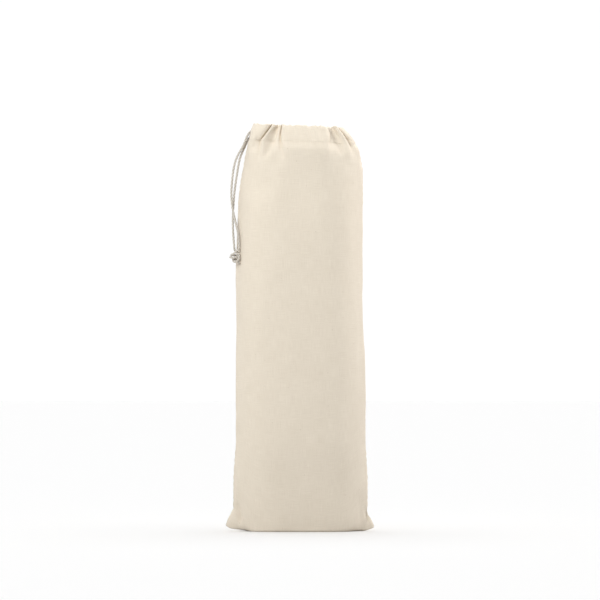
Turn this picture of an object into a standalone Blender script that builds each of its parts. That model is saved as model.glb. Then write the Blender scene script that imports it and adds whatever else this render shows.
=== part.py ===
"""Drawstring bread bag of natural cotton, standing open on its own base.

One length of cloth is folded across the bottom, sewn up both sides and turned
down round the mouth as a casing. A cord runs round inside the casing, leaves
it by a slit at the left side seam and hangs in two strands tied in one knot.

Frame: +X to the right of someone who faces the front, -Y is the front, +Z up,
origin at the middle of the base. Lengths are in millimetres until a mesh or
a curve is made, where MM turns them into metres.
"""

import math
from collections import namedtuple

import bmesh
import bpy
import numpy as np

MM = 0.001

# Driving dimensions of the cloth
FLAT_WIDTH = 200.0  # the empty bag laid flat, side seam to side seam
CLOTH = 1.0  # modelled thickness of the cloth
RIM = 548.0  # mean height of the mouth's folded edge
RIM_TILT = 2.6  # the mouth is this much higher at its left end than at its middle
TILT_START = 430.0  # the slope of the mouth begins at this height
RIM_RIPPLE = 0.7  # small waves of the folded edge
RIPPLE_LENGTH = 31.0  # length of cloth in one wave
RIPPLE_FADE = 8.0  # depth under the folded edge in which they die away
CASING = 22.0  # the hem's stitch line lies this far under the folded edge
TUNNEL = 2.4  # half the room that the casing gives the cord
SLIT = 2  # columns of cloth each side of the left seam that the casing leaves open

# Driving dimensions of the standing bottom
WALL_START = 45.0  # above this height the sides are level sections
BASE_TURN = 14.0  # how far in from the wall the base begins to turn up
TURN_LIMIT = 0.45  # and the most that is of the half depth, near the corners
TURN_RISE = 30.0  # height at which that turn has become the wall
EAR_WIDTH = 38.0  # cloth beside each seam that stands out as a corner ear
EAR_TIP = 98.8  # half the width across the two ears' tips, inside the cloth

# Driving dimensions of the drawstring
CORD = 3.0  # diameter
CORD_STEP = 6.8  # distance between the points of a modelled cord
CORD_LEAD = 1.5  # straight length at each end of a stretch, so that ends meet squarely
GAP = 0.3  # room between two pieces that meet
MERGE = 0.0001  # points of a cord's mesh that are closer than this, in metres, are one

# Fineness of the cloth's grid
COLUMNS = 40  # from seam to seam, on the front and again on the back
SAMPLES = 400  # points that a section is measured with
HALVINGS = 40  # steps of each bisection

FRONT, BACK = -1, 1

# Level sections: the height, the outline's left and right edges, how square the
# section is in the middle (crown) and how blunt at the seams (edge: 1 is a sharp
# crease, 0.5 is round), and the share of the cloth that the gathers take up.
Section = namedtuple("Section", "height left right crown edge gathered")
SECTIONS = (
    Section(7.0, -100.0, 100.0, 4.0, 1.00, 0.000),
    Section(15.0, -98.6, 96.4, 4.0, 1.00, 0.000),
    Section(22.0, -95.8, 92.4, 4.0, 1.00, 0.000),
    Section(31.0, -91.6, 90.6, 4.0, 1.00, 0.000),
    Section(69.0, -90.5, 90.5, 4.0, 1.00, 0.000),
    Section(123.0, -86.8, 89.0, 4.0, 1.00, 0.000),
    Section(231.0, -86.4, 87.8, 4.0, 1.00, 0.000),
    Section(312.0, -86.6, 84.6, 3.8, 1.00, 0.000),
    Section(430.0, -85.6, 84.4, 3.6, 0.95, 0.005),
    Section(462.0, -82.4, 84.6, 3.4, 0.88, 0.020),
    Section(488.0, -78.2, 84.2, 3.1, 0.78, 0.055),
    Section(505.0, -75.3, 81.2, 2.9, 0.70, 0.095),
    Section(516.0, -72.0, 78.2, 2.7, 0.62, 0.130),
    Section(526.0, -68.0, 71.2, 2.6, 0.56, 0.185),
    Section(536.0, -65.2, 62.2, 2.5, 0.52, 0.245),
    Section(548.0, -61.0, 54.0, 2.5, 0.50, 0.280),
)

# Rows of the standing bottom, from the fold across the base up to the wall: how
# far along the flat base, how far round its turned edge in degrees, and how far
# up the side seam the row has come by the time it reaches the ear.
BaseRow = namedtuple("BaseRow", "along turned climbed")
BASE_ROWS = (
    BaseRow(0.0, 0.0, 0.00),
    BaseRow(0.5, 0.0, 0.09),
    BaseRow(1.0, 0.0, 0.20),
    BaseRow(1.0, 24.0, 0.33),
    BaseRow(1.0, 48.0, 0.46),
    BaseRow(1.0, 70.0, 0.62),
    BaseRow(1.0, 90.0, 0.80),
)

# Heights of the level rows between the base and the casing
WALL_ROWS = (45, 74, 112, 160, 212, 266, 320, 370, 410, 440, 464, 484, 500, 513)

# Rows of the casing, up its outer layer and down its inner one: depth under the
# folded edge, distance from the middle of the casing (positive outside), and the
# share of the pleats that the row follows.
CasingRow = namedtuple("CasingRow", "depth offset follow")
CASING_ROWS = (
    CasingRow(CASING, 0.25, 1.0),
    CasingRow(17.0, TUNNEL, 1.0),
    CasingRow(7.0, TUNNEL, 1.0),
    CasingRow(1.0, 0.9, 1.0),
    CasingRow(1.0, -0.9, 1.0),
    CasingRow(7.0, -TUNNEL, 0.0),
    CasingRow(17.0, -TUNNEL, 0.0),
    CasingRow(CASING, -0.25, 1.0),
)

# Lift of the fold line across the base where the bag's corners leave the floor
LIFT_AT = (-100.0, -92.0, -78.0, -64.0, 84.0, 92.0, 100.0)
LIFT = (7.0, 3.6, 1.4, 0.0, 0.0, 2.4, 7.0)

# Pleats of the gathered mouth: where each starts, peaks and ends in the flat
# cloth, counted from the left seam, how far it stands out beside the others,
# and how far down from the folded edge it dies away.
Pleat = namedtuple("Pleat", "side start ridge end height fade")
PLEATS = (
    Pleat(FRONT, 5.0, 27.0, 45.0, 6.6, 66.0),
    Pleat(FRONT, 45.0, 52.5, 70.0, 6.6, 54.0),
    Pleat(FRONT, 70.0, 77.5, 90.0, 3.8, 30.0),
    Pleat(FRONT, 90.0, 100.0, 110.0, 1.6, 16.0),
    Pleat(FRONT, 110.0, 120.0, 130.0, 1.6, 16.0),
    Pleat(FRONT, 130.0, 142.0, 150.0, 3.5, 32.0),
    Pleat(FRONT, 150.0, 165.0, 175.0, 5.6, 52.0),
    Pleat(FRONT, 175.0, 185.0, 195.0, 4.6, 66.0),
    Pleat(BACK, 5.0, 18.0, 30.0, 6.0, 60.0),
    Pleat(BACK, 30.0, 40.0, 50.0, 4.5, 34.0),
    Pleat(BACK, 50.0, 60.0, 75.0, 6.0, 56.0),
    Pleat(BACK, 75.0, 85.0, 95.0, 4.5, 38.0),
    Pleat(BACK, 95.0, 108.0, 120.0, 5.5, 62.0),
    Pleat(BACK, 120.0, 132.0, 145.0, 5.0, 42.0),
    Pleat(BACK, 145.0, 155.0, 165.0, 4.2, 36.0),
    Pleat(BACK, 165.0, 180.0, 195.0, 5.0, 62.0),
)
ROUNDEST = 2.8  # power of a broad pleat's profile at the mouth, 1 being straight sides
PLEAT_SOFT = 2.0  # and that of every pleat where it dies away
STRONGEST = 1.0  # the pleats stand out by this share of their height at most
FAN = 0.33  # slope of the pleats away from the middle as they go down
FAN_DEPTH = 24.0  # they lean outwards down to this depth
FAN_END = 240.0  # and the cloth hangs straight again from this one
FAN_REACH = 33.0  # distance from a seam where they lean the most
STEEPEST = 0.92  # sine of the steepest slope of a pleat's side

# Soft dents of the filled cloth: place in the flat cloth, height, half the width
# and height they cover, and depth
Dent = namedtuple("Dent", "side along height wide tall depth")
DENTS = (
    Dent(FRONT, 15.0, 24.0, 10.0, 20.0, 4.5),
    Dent(FRONT, 186.0, 24.0, 9.0, 20.0, 4.0),
    Dent(BACK, 16.0, 26.0, 10.0, 22.0, 4.5),
    Dent(BACK, 185.0, 24.0, 10.0, 20.0, 4.0),
    Dent(FRONT, 62.0, 205.0, 26.0, 60.0, 1.6),
    Dent(FRONT, 138.0, 330.0, 30.0, 70.0, 1.4),
    Dent(FRONT, 96.0, 452.0, 24.0, 22.0, 1.5),
    Dent(BACK, 100.0, 300.0, 16.0, 120.0, 2.2),
    Dent(BACK, 60.0, 130.0, 28.0, 50.0, 1.5),
    Dent(BACK, 145.0, 400.0, 26.0, 50.0, 1.6),
)

# Routes of the two hanging strands, from the slit in the casing to the knot.
# The outer one comes from behind, the inner one from the front, and they cross
# a third of the way up from the knot.
OUTER_ROUTE = (
    (-62.7, 5.2, 541.4),
    (-64.1, 2.0, 541.5),
    (-66.6, -0.6, 540.7),
    (-69.6, -1.8, 537.6),
    (-72.4, -2.2, 532.2),
    (-77.2, -2.6, 520.6),
    (-83.8, -2.8, 509.0),
    (-88.6, -3.3, 495.9),
    (-91.4, -4.3, 478.3),
    (-92.8, -5.8, 459.3),
    (-91.9, -8.0, 441.6),
    (-89.6, -9.8, 428.5),
    (-86.2, -11.4, 413.8),
    (-83.6, -12.4, 400.7),
    (-82.4, -12.8, 382.2),
)
INNER_ROUTE = (
    (-63.6, -5.0, 536.5),
    (-64.9, -1.8, 536.0),
    (-66.9, 0.6, 534.0),
    (-69.8, 1.6, 530.4),
    (-72.7, 1.9, 524.4),
    (-76.4, 1.7, 516.2),
    (-80.8, 0.9, 505.6),
    (-83.9, -0.1, 491.4),
    (-86.6, -1.5, 473.9),
    (-88.7, -3.1, 457.8),
    (-89.9, -4.7, 443.1),
    (-90.6, -6.2, 430.0),
    (-90.8, -8.2, 415.3),
    (-90.2, -10.0, 400.7),
    (-88.8, -11.6, 382.2),
)

# The knot: an overhand knot of both strands, flat against the bag's side. Each
# strand runs on its side of one curve down to its last turn (in half circles)
# and ends in a tail, whose tip is given from the knot's middle.
KNOT_AT = (-87.4, -12.6, 371.4)
KNOT_SIZE = 1.9  # length of one unit of the knot's curve
KNOT_CORD = 2.9  # the cord pulled tight
KNOT_FLAT = 0.9  # how deep the curve is where it crosses itself
KNOT_VOXEL = 0.5  # fineness that the strands are fused with
KNOT_KEPT = 0.15  # share of the fused knot's faces that is kept
FIRST_TURN = 0.84  # both strands join the curve here
TURN_STEP = 0.18  # turn between the points of its route
HEADING = 0.1  # turn each way that its direction is measured over
KnotRun = namedtuple("KnotRun", "route side last_turn tail")
KNOT_RUNS = (
    KnotRun(OUTER_ROUTE, 1, -0.86, (5.4, 0.2, -7.6)),
    KnotRun(INNER_ROUTE, -1, -0.48, (-5.2, -0.4, -1.2)),
)


def smooth(at, knots, values):
    """Read a smooth curve that rises and falls only where its points do."""
    knots, values = np.asarray(knots, float), np.asarray(values, float)
    step = np.diff(knots)
    slope = np.diff(values) / step
    product = slope[:-1] * slope[1:]
    total = slope[:-1] + slope[1:]
    tangent = np.concatenate(([slope[0]], np.zeros(len(knots) - 2), [slope[-1]]))
    turning = product <= 0
    tangent[1:-1] = np.where(turning, 0.0, 2.0 * product / np.where(turning, 1.0, total))
    at = np.clip(at, knots[0], knots[-1])
    span = np.clip(np.searchsorted(knots, at, side="right") - 1, 0, len(step) - 1)
    f = (at - knots[span]) / step[span]
    rise = values[span + 1] - values[span]
    bend_in = tangent[span] * step[span]
    bend_out = tangent[span + 1] * step[span]
    return (
        values[span]
        + rise * f * f * (3.0 - 2.0 * f)
        + bend_in * f * (1.0 - f) ** 2
        - bend_out * f * f * (1.0 - f)
    )


def ease(value):
    """0 up to 0, 1 from 1 on, and a smooth rise between."""
    value = np.clip(value, 0.0, 1.0)
    return value * value * (3.0 - 2.0 * value)


def unit(vector):
    return vector / np.linalg.norm(vector)


def running_length(*coordinates):
    """Length along a line of points, at each of them."""
    steps = np.sqrt(sum(np.diff(c) ** 2 for c in coordinates))
    return np.concatenate(([0.0], np.cumsum(steps)))


def running_total(rate, places):
    """Integral of a rate along the places that it is known at, at each of them."""
    return np.concatenate(([0.0], np.cumsum((rate[1:] + rate[:-1]) / 2.0 * np.diff(places))))


def bisect(low, high, too_small):
    """The value between two limits where `too_small` turns from true to false."""
    for _ in range(HALVINGS):
        middle = (low + high) / 2.0
        if too_small(middle):
            low = middle
        else:
            high = middle
    return (low + high) / 2.0


def section_value(height, name):
    """One measure of the level section at a height."""
    return smooth(height, [row.height for row in SECTIONS], [getattr(row, name) for row in SECTIONS])


def half_section(height):
    """Half of the inner outline at a height, from the left seam to the right one.

    Its depth follows from the cloth: the half is as long as the flat bag is wide,
    less what the gathers take up.
    """
    left, right = section_value(height, "left"), section_value(height, "right")
    across = -np.cos(np.linspace(0.0, math.pi, SAMPLES))
    x = (left + right) / 2.0 + across * ((right - left) / 2.0 - CLOTH)
    bulge = (1.0 - np.abs(across) ** section_value(height, "crown")) ** section_value(height, "edge")
    wanted = FLAT_WIDTH * (1.0 - section_value(height, "gathered"))
    depth = bisect(0.0, FLAT_WIDTH / 2.0, lambda d: running_length(x, d * bulge)[-1] < wanted)
    return x, depth * bulge


def pleat_heights(side, cloth, depth):
    """How far the pleats stand out along the cloth.

    The side of a narrow pleat is straight and that of a broad one is round, so
    that neither is steeper than cloth can stand.
    """
    softness = ease(depth / (2.0 * CASING))
    heights = np.zeros(len(cloth))
    for pleat in (p for p in PLEATS if p.side == side):
        from_ridge = cloth - pleat.ridge
        half = np.where(from_ridge < 0.0, pleat.ridge - pleat.start, pleat.end - pleat.ridge)
        place = np.abs(from_ridge) / half
        power = np.clip(STEEPEST * half / pleat.height, 1.0, ROUNDEST)
        power = power + (PLEAT_SOFT - power) * softness
        shape = np.clip(1.0 - place**power, 0.0, 1.0)
        shape = shape * (1.0 - softness) + shape * shape * softness
        heights += pleat.height * shape * (1.0 - ease(depth / pleat.fade))
    return heights


def dent_depths(side, cloth, height):
    """How far the soft dents sink into the cloth."""
    depths = np.zeros(len(cloth))
    for dent in (d for d in DENTS if d.side == side):
        away = ((cloth - dent.along) / dent.wide) ** 2 + ((height - dent.height) / dent.tall) ** 2
        depths += dent.depth * np.exp(-away)
    return depths


def fanned(cloth, depth):
    """Where a pleat that starts at `cloth` on the folded edge lies, `depth` under it."""
    from_seam = np.minimum(cloth, FLAT_WIDTH - cloth) / FAN_REACH
    lean = FAN * min(depth, FAN_DEPTH) * (1.0 - ease((depth - FAN_DEPTH) / (FAN_END - FAN_DEPTH)))
    aside = lean * from_seam * np.exp(1.0 - from_seam)
    return cloth + np.where(cloth < FLAT_WIDTH / 2.0, -aside, aside)


def level_row(side, columns, height, offset=0.0, follow=1.0):
    """Points of one side's cloth at a height, for the columns of its grid.

    The pleats stand out as far as the gathered cloth allows, and the columns are
    spread along the section so that the cloth between them keeps its length.
    """
    x, y = half_section(height)
    run = running_length(x, y)
    depth = max(0.0, RIM - height)
    straight = np.linspace(0.0, FLAT_WIDTH, SAMPLES)
    cloth = fanned(straight, depth)
    columns = fanned(columns, depth)
    heights = pleat_heights(side, straight, depth)
    slopes = np.gradient(heights, cloth)

    def length_along(scale):
        lean = np.clip(scale * slopes, -STEEPEST, STEEPEST)
        return running_total(np.sqrt(1.0 - lean * lean), cloth)

    scale = bisect(0.0, STRONGEST, lambda k: length_along(k)[-1] > run[-1])
    along = length_along(scale)
    place = np.interp(columns, cloth, along * run[-1] / along[-1])
    px, py = np.interp(place, run, x), np.interp(place, run, y)
    dx = np.interp(place, run, np.gradient(x, run))
    dy = np.interp(place, run, np.gradient(y, run))
    size = np.hypot(dx, dy)
    out = offset + follow * scale * np.interp(columns, cloth, heights)
    out = out - dent_depths(side, columns, height)
    return np.column_stack((px - dy / size * out, side * (py + dx / size * out)))


def base_row(side, columns, row):
    """Points of one side's cloth on the standing bottom, for one row of it."""
    wall = level_row(side, columns, WALL_START)
    fold_x = (columns / FLAT_WIDTH * 2.0 - 1.0) * EAR_TIP
    lift = smooth(fold_x, LIFT_AT, LIFT)
    depth = np.abs(wall[:, 1])
    turn_share = np.minimum(BASE_TURN, TURN_LIMIT * depth) / np.maximum(depth, CLOTH)
    angle = math.radians(row.turned)
    reach = (1.0 - turn_share) * row.along + turn_share * math.sin(angle)
    floor = np.column_stack((fold_x + (wall[:, 0] - fold_x) * reach, wall[:, 1] * reach,
                             CLOTH + lift + (TURN_RISE - lift) * (1.0 - math.cos(angle))))
    from_seam = np.minimum(columns, FLAT_WIDTH - columns)
    climb = CLOTH + lift + (WALL_START - CLOTH - lift) * row.climbed
    ear = np.array([level_row(side, columns[i:i + 1], climb[i])[0] for i in range(len(columns))])
    ear = np.column_stack((ear, climb))
    share = ease(from_seam / EAR_WIDTH)[:, None]
    points = ear + (floor - ear) * share
    if row.along == 0.0:
        points[:, 1] = 0.0
    return points


def wall_row(side, columns, height):
    """Points of one side's cloth on a level row between the base and the casing."""
    points = level_row(side, columns, height)
    return np.column_stack((points, height + rim_rise(points[:, 0], height)))


def rim_rise(x, height):
    """The mouth slopes down to the right, and the rows under it follow less and less."""
    share = ease((height - TILT_START) / (RIM - TILT_START))
    return RIM_TILT * x / section_value(RIM, "left") * share


def casing_row(side, columns, row):
    """Points of one side's cloth on one row of the casing."""
    height = RIM - row.depth
    points = level_row(side, columns, height, row.offset, row.follow)
    waves = np.sin(2.0 * math.pi * columns / RIPPLE_LENGTH + side)
    ripple = RIM_RIPPLE * waves * math.exp(-row.depth / RIPPLE_FADE)
    return np.column_stack((points, height + rim_rise(points[:, 0], height) + ripple))


def add_ring(mesh, front, back):
    """Vertices of a row, counter-clockwise from above, the two seams shared."""
    seams = (front[[0, -1]] + back[[0, -1]]) / 2.0
    front, back = front.copy(), back.copy()
    front[[0, -1]] = seams
    ring = list(front) + list(back[-2:0:-1])
    return [mesh.verts.new(point * MM) for point in ring]


def bag_mesh():
    """The bag's inner face, from the fold across its base round to the hem's end."""
    columns = np.linspace(0.0, FLAT_WIDTH, COLUMNS + 1)
    mesh = bmesh.new()
    fold = [mesh.verts.new(point * MM) for point in base_row(FRONT, columns, BASE_ROWS[0])]
    rings = [fold + fold[-2:0:-1]]
    for row in BASE_ROWS[1:]:
        rings.append(add_ring(mesh, base_row(FRONT, columns, row), base_row(BACK, columns, row)))
    for height in WALL_ROWS:
        rings.append(add_ring(mesh, wall_row(FRONT, columns, height), wall_row(BACK, columns, height)))
    casing_starts = len(rings)
    for row in CASING_ROWS:
        rings.append(add_ring(mesh, casing_row(FRONT, columns, row), casing_row(BACK, columns, row)))

    around = 2 * COLUMNS
    for number, (lower, upper) in enumerate(zip(rings, rings[1:])):
        for i in range(around):
            j = (i + 1) % around
            beside_slit = i < SLIT or i >= around - SLIT
            if number >= casing_starts and beside_slit:
                continue
            mesh.faces.new((lower[i], lower[j], upper[j], upper[i]))
    loose = [v for v in mesh.verts if not v.link_faces]
    bmesh.ops.delete(mesh, geom=loose, context="VERTS")
    return mesh


def make_material(name, colour, roughness):
    material = bpy.data.materials.new(name)
    material.use_nodes = True
    shader = material.node_tree.nodes["Principled BSDF"]
    shader.inputs["Base Color"].default_value = (*colour, 1.0)
    shader.inputs["Roughness"].default_value = roughness
    shader.inputs["Metallic"].default_value = 0.0
    return material


def make_collection(name):
    collection = bpy.data.collections.new(name)
    bpy.context.scene.collection.children.link(collection)
    return collection


def make_bag(collection, material):
    mesh = bpy.data.meshes.new("bag_body")
    grid = bag_mesh()
    grid.to_mesh(mesh)
    grid.free()
    mesh.shade_smooth()
    bag = bpy.data.objects.new("bag_body", mesh)
    mesh.materials.append(material)
    collection.objects.link(bag)
    solid = bag.modifiers.new("cloth", "SOLIDIFY")
    solid.thickness = CLOTH * MM
    solid.offset = 1.0
    return bag


def curve_through(route, step):
    """Evenly spaced points of the natural cubic curve through a route's points."""
    route = np.asarray(route, float)
    run = running_length(*route.T)
    gap = np.diff(run)
    count = len(route)
    system = np.eye(count)
    target = np.zeros((count, 3))
    for i in range(1, count - 1):
        system[i, i - 1:i + 2] = gap[i - 1], 2.0 * (gap[i - 1] + gap[i]), gap[i]
        target[i] = 6.0 * ((route[i + 1] - route[i]) / gap[i] - (route[i] - route[i - 1]) / gap[i - 1])
    bend = np.linalg.solve(system, target)
    fine = np.linspace(0.0, run[-1], SAMPLES)
    span = np.clip(np.searchsorted(run, fine, side="right") - 1, 0, count - 2)
    before, after = fine - run[span], run[span + 1] - fine
    h = gap[span]
    a, b = bend[span], bend[span + 1]
    curve = (
        (a * after[:, None] ** 3 + b * before[:, None] ** 3) / (6.0 * h[:, None])
        + (route[span] / h[:, None] - a * h[:, None] / 6.0) * after[:, None]
        + (route[span + 1] / h[:, None] - b * h[:, None] / 6.0) * before[:, None]
    )
    length = running_length(*curve.T)
    places = np.linspace(0.0, length[-1], max(2, round(length[-1] / step) + 1))
    return np.column_stack([np.interp(places, length, curve[:, k]) for k in range(3)])


def cord_points(route, into_start, into_end):
    """Points of a cord whose two ends are straight along the given directions."""
    start, end = np.array(route[0]), np.array(route[-1])
    inner = [start + into_start * CORD_LEAD, *route[1:-1], end + into_end * CORD_LEAD]
    return [start, *curve_through(inner, CORD_STEP), end]


def make_cord(name, points, diameter, collection, material):
    curve = bpy.data.curves.new(name, "CURVE")
    curve.dimensions = "3D"
    curve.bevel_depth = diameter / 2.0 * MM
    curve.bevel_resolution = 2
    curve.use_fill_caps = True
    spline = curve.splines.new("POLY")
    spline.points.add(len(points) - 1)
    for control, point in zip(spline.points, points):
        control.co = (*(np.asarray(point) * MM), 1.0)
    cord = bpy.data.objects.new(name, curve)
    curve.materials.append(material)
    collection.objects.link(cord)
    return cord


def tunnel_row(side, columns, depth):
    """Middle line of the casing's tunnel, which runs straight from edge to edge."""
    top, bottom = CASING_ROWS[2], CASING_ROWS[1]
    upper = casing_row(side, columns, CasingRow(top.depth, 0.0, 0.0))
    lower = casing_row(side, columns, CasingRow(bottom.depth, 0.0, 0.0))
    share = (bottom.depth - depth) / (bottom.depth - top.depth)
    return lower + (upper - lower) * share[:, None]


def casing_route():
    """The cord inside the casing, from the front edge of the slit round to the back one."""
    pitch = FLAT_WIDTH / COLUMNS
    columns = np.arange(2.0 * SLIT, COLUMNS + 1.0, 2.0) * pitch
    start, end = np.array(INNER_ROUTE[0]), np.array(OUTER_ROUTE[0])
    depths = RIM + rim_rise(start[0], RIM) - np.array((start[2], end[2]))
    share = columns / FLAT_WIDTH / 2.0
    front = tunnel_row(FRONT, columns, depths[0] + (depths[1] - depths[0]) * share)
    back = tunnel_row(BACK, columns, depths[1] + (depths[0] - depths[1]) * share)
    into_front = unit(start - INNER_ROUTE[1])
    into_back = unit(end - OUTER_ROUTE[1])
    start, end = start + into_front * GAP, end + into_back * GAP
    return cord_points([start, *front[1:], *back[-2:0:-1], end], into_front, into_back)


def strand_points(route):
    """A hanging strand: it leaves along its route and comes down on the knot."""
    return cord_points(route, unit(np.subtract(route[1], route[0])), np.array((0.0, 0.0, 1.0)))


def knot_curve(turn):
    """A point of the overhand knot's middle line, whose two ends are on its right."""
    return np.array((
        2.0 * math.cos(2.0 * turn) - math.cos(turn),
        -KNOT_FLAT * math.sin(3.0 * turn),
        -math.sin(turn) - 2.0 * math.sin(2.0 * turn),
    ))


def knot_strand(run):
    """One strand through the knot, from its top to the end of its tail."""
    turns = np.arange(FIRST_TURN, run.last_turn, -TURN_STEP) * math.pi
    middle = np.array([knot_curve(turn) for turn in turns]) * KNOT_SIZE
    heading = np.array([knot_curve(turn - HEADING) - knot_curve(turn + HEADING) for turn in turns])
    aside = np.array([unit(np.array((-way[2], 0.0, way[0]))) for way in heading])
    turned = np.array(KNOT_AT) + middle + run.side * KNOT_CORD / 2.0 * aside
    top = np.array(run.route[-1]) - (0.0, 0.0, GAP)
    route = [top, top - (0.0, 0.0, KNOT_CORD), *turned, np.array(KNOT_AT) + run.tail]
    return curve_through(route, KNOT_CORD)


def make_knot(strands, collection, material):
    """One solid of both strands' turns through the knot, with its two tails."""
    shape = bmesh.new()
    for points in strands:
        tube = make_cord("turns", points, KNOT_CORD, collection, material)
        made = tube.evaluated_get(bpy.context.evaluated_depsgraph_get())
        shape.from_mesh(bpy.data.meshes.new_from_object(made))
        bpy.data.objects.remove(tube, do_unlink=True)
    bmesh.ops.remove_doubles(shape, verts=shape.verts, dist=MERGE)
    mesh = bpy.data.meshes.new("drawstring_knot")
    shape.to_mesh(mesh)
    shape.free()
    knot = bpy.data.objects.new("drawstring_knot", mesh)
    mesh.materials.append(material)
    collection.objects.link(knot)
    fuse = knot.modifiers.new("fuse", "REMESH")
    fuse.mode = "VOXEL"
    fuse.voxel_size = KNOT_VOXEL * MM
    fewer = knot.modifiers.new("fewer", "DECIMATE")
    fewer.ratio = KNOT_KEPT
    return knot


def main():
    for item in list(bpy.data.objects):
        bpy.data.objects.remove(item, do_unlink=True)
    collection = make_collection("bread_bag")
    cotton = make_material("natural_cotton", (0.76, 0.69, 0.60), 0.92)
    cord = make_material("cotton_cord", (0.62, 0.57, 0.50), 0.95)
    make_bag(collection, cotton)
    make_cord("drawstring_in_casing", casing_route(), CORD, collection, cord)
    make_cord("drawstring_strand_outer", strand_points(OUTER_ROUTE), CORD, collection, cord)
    make_cord("drawstring_strand_inner", strand_points(INNER_ROUTE), CORD, collection, cord)
    make_knot([knot_strand(run) for run in KNOT_RUNS], collection, cord)


main()
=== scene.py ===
"""Looks of the drawstring bread bag: natural cotton with its gathered mouth,
hem, stitches and corner ears, and a twisted cotton cord with its knot.

The frame is the CAD's: +X to the right of someone who faces the front, -Y is the
front, +Z up, origin at the middle of the base. Lengths are in millimetres until a
mesh is made, where MM turns them into metres.
"""

import math
from collections import namedtuple

import bmesh
import bpy
import numpy as np
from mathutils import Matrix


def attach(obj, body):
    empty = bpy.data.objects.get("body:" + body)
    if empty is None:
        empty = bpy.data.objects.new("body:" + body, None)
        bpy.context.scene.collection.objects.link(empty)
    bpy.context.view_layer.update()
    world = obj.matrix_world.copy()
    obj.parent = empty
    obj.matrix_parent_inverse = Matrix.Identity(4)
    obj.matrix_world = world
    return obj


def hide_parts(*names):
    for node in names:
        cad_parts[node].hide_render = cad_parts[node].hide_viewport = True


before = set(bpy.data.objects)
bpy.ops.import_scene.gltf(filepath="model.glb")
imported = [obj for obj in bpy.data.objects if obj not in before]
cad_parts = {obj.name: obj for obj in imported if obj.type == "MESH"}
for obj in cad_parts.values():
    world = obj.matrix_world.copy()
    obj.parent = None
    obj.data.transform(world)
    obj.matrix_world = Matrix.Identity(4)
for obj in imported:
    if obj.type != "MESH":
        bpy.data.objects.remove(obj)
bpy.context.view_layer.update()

MM = 0.001
FRONT, BACK = -1, 1


def table(kind, *rows):
    """Rows whose columns have names."""
    return [kind(*row) for row in rows]


# The camera, level and square on
CAMERA_AWAY = 7000.0
CAMERA_HEIGHT = 312.5
VIEW_WIDTH = 812.0  # what the view takes in at the bag's middle

# The room: a white wall behind the bag, and little light from the rest. The wall
# reaches up to the sine and round the bag to the cosine given, and fades past them.
WALL_LIGHT = 1.02
WALL_TOP, TOP_FADE = 0.2, 0.15
WALL_SIDE, SIDE_FADE = 0.0, 0.3
ROOM_LIGHT = 0.12

# The lamps: two that light the bag and not the floor, and a wide one overhead
Lamp = namedtuple("Lamp", "name place target width height power colour")
LAMPS = table(
    Lamp,
    ("key", (-740.0, -1440.0, 1200.0), (0.0, 0.0, 400.0), 500.0, 500.0, 20.8, (0.965, 1.0, 1.0)),
    ("fill", (1180.0, 260.0, 1050.0), (0.0, 0.0, 450.0), 600.0, 900.0, 14.0, (1.0, 1.0, 0.99)),
)
OVERHEAD_POWER = 2.75
OVERHEAD_WIDTH = 80.0  # degrees
OVERHEAD_TILT = 6.0  # it hangs this many degrees behind the bag
FLOOR_REACH = 9000.0
FLOOR_COLOUR = (0.98, 0.98, 0.98, 1.0)

# Driving dimensions of the cloth
FLAT_WIDTH = 200.0  # the empty bag laid flat, side seam to side seam
CLOTH = 0.6  # thickness
RIM = 548.0  # mean height of the mouth's folded edge
RIM_TILT = 2.6  # the mouth is this much higher at its left end than at its middle
TILT_START = 430.0  # the slope of the mouth begins at this height
CASING = 22.0  # the hem's stitch line lies this far under the folded edge
TUNNEL_OUT = 0.9  # how far the casing bulges outwards round the cord
TUNNEL_IN = 3.7  # and inwards
SLIT = 5.3  # length of cloth each side of the left seam that the casing leaves open

# The standing bottom
WALL_START = 45.0  # above this height the sides are level sections
BASE_TURN = 1.5  # how far in from the wall the base begins to turn up
TURN_LIMIT = 0.45  # and the most that is of the half depth, near the corners
TURN_RISE = 3.2  # height at which that turn has become the wall
EAR_WIDTH = 38.0  # cloth beside each seam that stands out as a corner ear
EAR_TIP = 98.8  # half the width across the two ears' tips

# The drawstring
CORD = 3.0  # diameter
CORD_LEAD = 1.5  # straight length at each end of a stretch
PLIES = 3
PLY_GROOVE = 0.30  # depth of the grooves between them
CORD_LAY = 15.0  # length of one turn of a ply
RING_STEP = 0.6  # distance between the rings of a cord's mesh
RING_POINTS = 18
RING_FROM = (0.3, 0.9, 0.2)  # its rings begin square to this, which no cord runs along
CASING_STEP = 10.0  # distance between the places of its route inside the casing
TUNNEL_TOP = 7.0  # that route is worked out at this depth under the folded edge
TUNNEL_FOOT = 17.0  # and at this one

# Fineness of the cloth's grid
COLUMNS = 150  # from seam to seam, on the front and again on the back
SAMPLES = 400  # points that a section is measured with
HALVINGS = 40  # steps of each bisection
EAR_LEVELS = 16  # level sections that the ears are read from

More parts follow.
